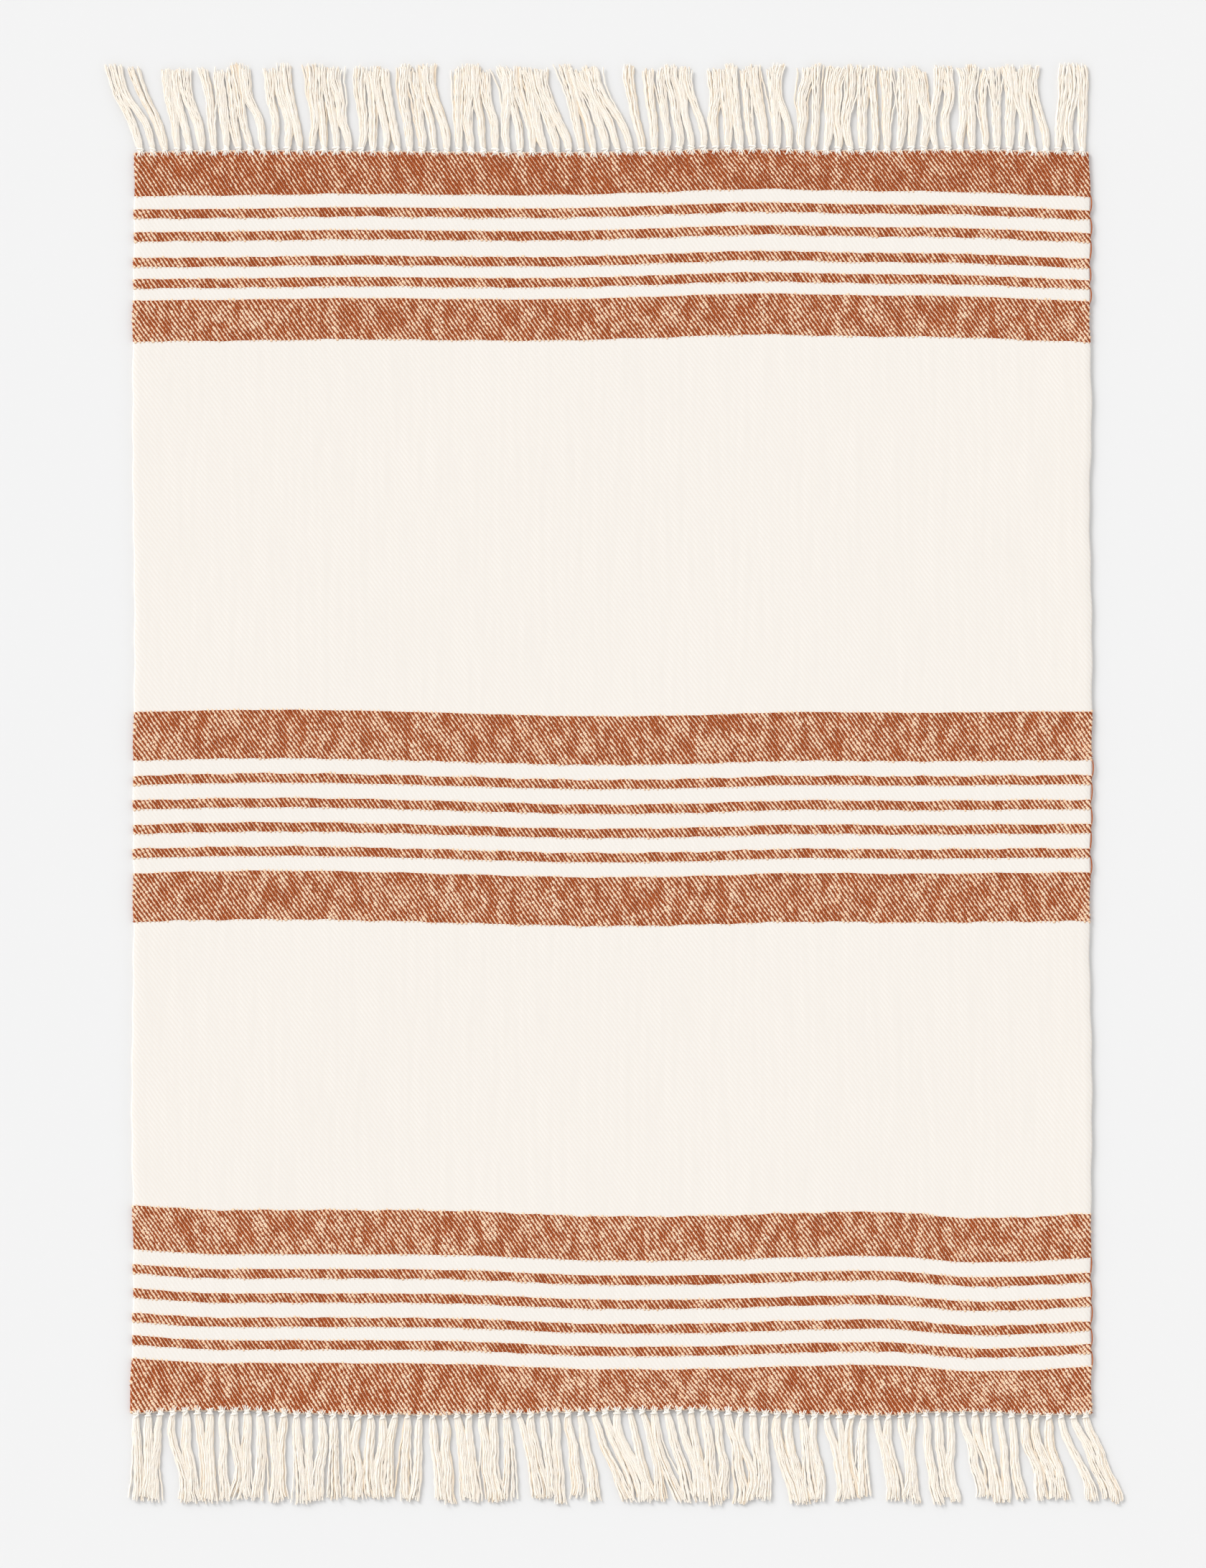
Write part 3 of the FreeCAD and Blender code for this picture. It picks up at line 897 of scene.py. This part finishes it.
def hem_yarn(end, seed):
    """The thread along the hem, dipping from knot to knot, as three twisted strands."""
    draw = np.random.default_rng(seed)
    steps = KNOTS * 8
    x = np.linspace(-HALF_WIDTH + 0.8 * MM, HALF_WIDTH - 0.8 * MM, steps)
    hem = hem_line(x, end)
    knot_phase = 2 * math.pi * (x + HALF_WIDTH) / KNOT_PITCH
    out = (0.55 + 0.25 * np.cos(knot_phase) + draw.normal(0, 0.05, steps)) * MM
    lines = []
    for strand in range(3):
        turn = 2 * math.pi * x / (2.6 * MM) + strand * 2 * math.pi / 3
        y = hem[:, 1] + end * (out + 0.18 * MM * np.cos(turn))
        z = hem[:, 2] + 0.35 * MM + 0.18 * MM * np.sin(turn)
        lines.append(np.stack([hem[:, 0], y, z], axis=1))
    return np.array(lines), np.full((3, steps), 0.42 * MM)


def fringe_end(label, end, body, seed):
    lines, thick, depth_for_painted_shade = tassels(end, seed)
    tuft = spun(f"fringe_tassels_{label}_yarn", lines, thick, "tassels", 4, depth_for_painted_shade)
    places = mesh_object(f"knot_places_{label}", knot_places(end))
    knots = grow(places, KNOTTED, {"Width": 4.4 * MM, "Seed": seed, "Finish": FINISHES["knots"]}, "knots")
    lines, thick = fan(end, seed + 1)
    ties = joined(f"hem_knots_{label}_tied", [knots, spun("fan", lines, thick, "knots")])
    lines, thick = hem_yarn(end, seed + 2)
    thread = spun(f"hem_thread_{label}_yarn", lines, thick, "hem_thread", 6)
    for piece, node in ((tuft, "fringe_tassels"), (ties, "hem_knots"), (thread, "hem_thread")):
        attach(piece, body)
        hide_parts(f"{node}_{label}")
        going_with[body].append(piece)


fringe_end("far", 1, FAR_BODY, 5)
fringe_end("near", -1, NEAR_BODY, 17)

# ---------------------------------------------------------------- rust yarn along the selvedge


def carried(node, gaps, seed):
    """Floats of rust yarn past the cream gaps, slack against the right selvedge."""
    draw = np.random.default_rng(seed)
    steps = 12
    along = np.linspace(0, 1, steps)
    lines = []
    for gap in gaps:
        far_y, near_y = reaches(gap)
        lap = 1.6 * MM
        y = (far_y + lap) + (near_y - far_y - 2 * lap) * along
        selvedge = lay(np.stack([np.full(steps, HALF_WIDTH), y, np.full(steps, THICK * 0.62)], axis=1))
        slack = draw.uniform(0.25, 0.75) * MM
        selvedge[:, 0] += -0.35 * MM + (0.55 * MM + slack) * np.sin(math.pi * along) ** 0.6
        selvedge[:, 2] += 0.25 * MM * np.sin(math.pi * along)
        lines.append(selvedge)
    thick = np.full((len(gaps), steps), 0.85 * MM) * (0.7 + 0.3 * np.sin(math.pi * along))
    piece = spun(f"{node}_floats", np.array(lines), thick, "carried_rust_yarn", 7)
    settle(piece, node)
    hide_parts(node)
    going_with[body_of_node(node)].append(piece)


def gap_nodes(group, numbers):
    return [f"{group}_gap_{number}" for number in numbers]


carried("carried_yarn_far", gap_nodes("far", range(1, 6)), 41)
carried("carried_yarn_middle_far", gap_nodes("middle", range(1, 2)), 42)
carried("carried_yarn_middle_near", gap_nodes("middle", range(2, 6)), 43)
carried("carried_yarn_near", gap_nodes("near", range(1, 6)), 44)

# ---------------------------------------------------------------- floor, light and camera

FRAME_WIDTH = 768.3 * MM        # what the view takes in across, at the floor
VIEW_SHIFT = -5.7 * MM          # the mat lies a little to the right in the view
CAMERA_HEIGHT = 6.0
SENSOR_WIDTH = 36.0             # of the camera, in its own millimetres
FLOOR_HALF = 6.0                # half the floor's side
FLOOR_GREY = 0.792


def floor():
    material = bpy.data.materials.new("pale floor")
    material.use_nodes = True
    shader = material.node_tree.nodes["Principled BSDF"]
    shader.inputs["Base Color"].default_value = (FLOOR_GREY, FLOOR_GREY, FLOOR_GREY, 1)
    shader.inputs["Roughness"].default_value = 0.85
    shader.inputs["Specular IOR Level"].default_value = 0.1
    quarters = ((-1, -1), (1, -1), (1, 1), (-1, 1))
    corners = [(side * FLOOR_HALF, end * FLOOR_HALF, 0) for side, end in quarters]
    ground = mesh_object("floor", corners, [(0, 1, 2, 3)])
    ground.data.materials.append(material)
    return ground


floor()


def soft_sun(share, softness, elevation, towards):
    """A soft light from the given elevation, that gives the floor its share of the light."""
    data = bpy.data.lights.new("soft light", "SUN")
    data.energy = share * LIGHT * math.pi / math.sin(math.radians(elevation))
    data.angle = math.radians(softness)
    lamp = bpy.data.objects.new("soft light", data)
    lamp.rotation_euler = (0, math.radians(elevation - 90), math.radians(towards))
    bpy.context.collection.objects.link(lamp)


LIGHT = 1.143                   # on the floor, from everything together
KEY_SHARE = 0.30
RING_SHARE = 0.18               # low light from all round, for a soft shadow along every edge
RING_LIGHTS = 8

soft_sun(KEY_SHARE, softness=28, elevation=28, towards=-45)
for turn in range(RING_LIGHTS):
    soft_sun(RING_SHARE / RING_LIGHTS, softness=30, elevation=17, towards=turn * 360 / RING_LIGHTS)

world = bpy.data.worlds.new("studio")
world.use_nodes = True
world.node_tree.nodes["Background"].inputs["Color"].default_value = (1, 1, 1, 1)
world.node_tree.nodes["Background"].inputs["Strength"].default_value = LIGHT * (1 - KEY_SHARE - RING_SHARE)
bpy.context.scene.world = world
bpy.context.scene.view_settings.view_transform = "Standard"

lens = bpy.data.cameras.new("camera")
lens.sensor_fit = "HORIZONTAL"
lens.sensor_width = SENSOR_WIDTH
lens.lens = SENSOR_WIDTH * (CAMERA_HEIGHT - THICK) / FRAME_WIDTH
lens.clip_end = 50
camera = bpy.data.objects.new("camera", lens)
camera.location = (VIEW_SHIFT, 0.0, CAMERA_HEIGHT)
bpy.context.collection.objects.link(camera)
bpy.context.scene.camera = camera
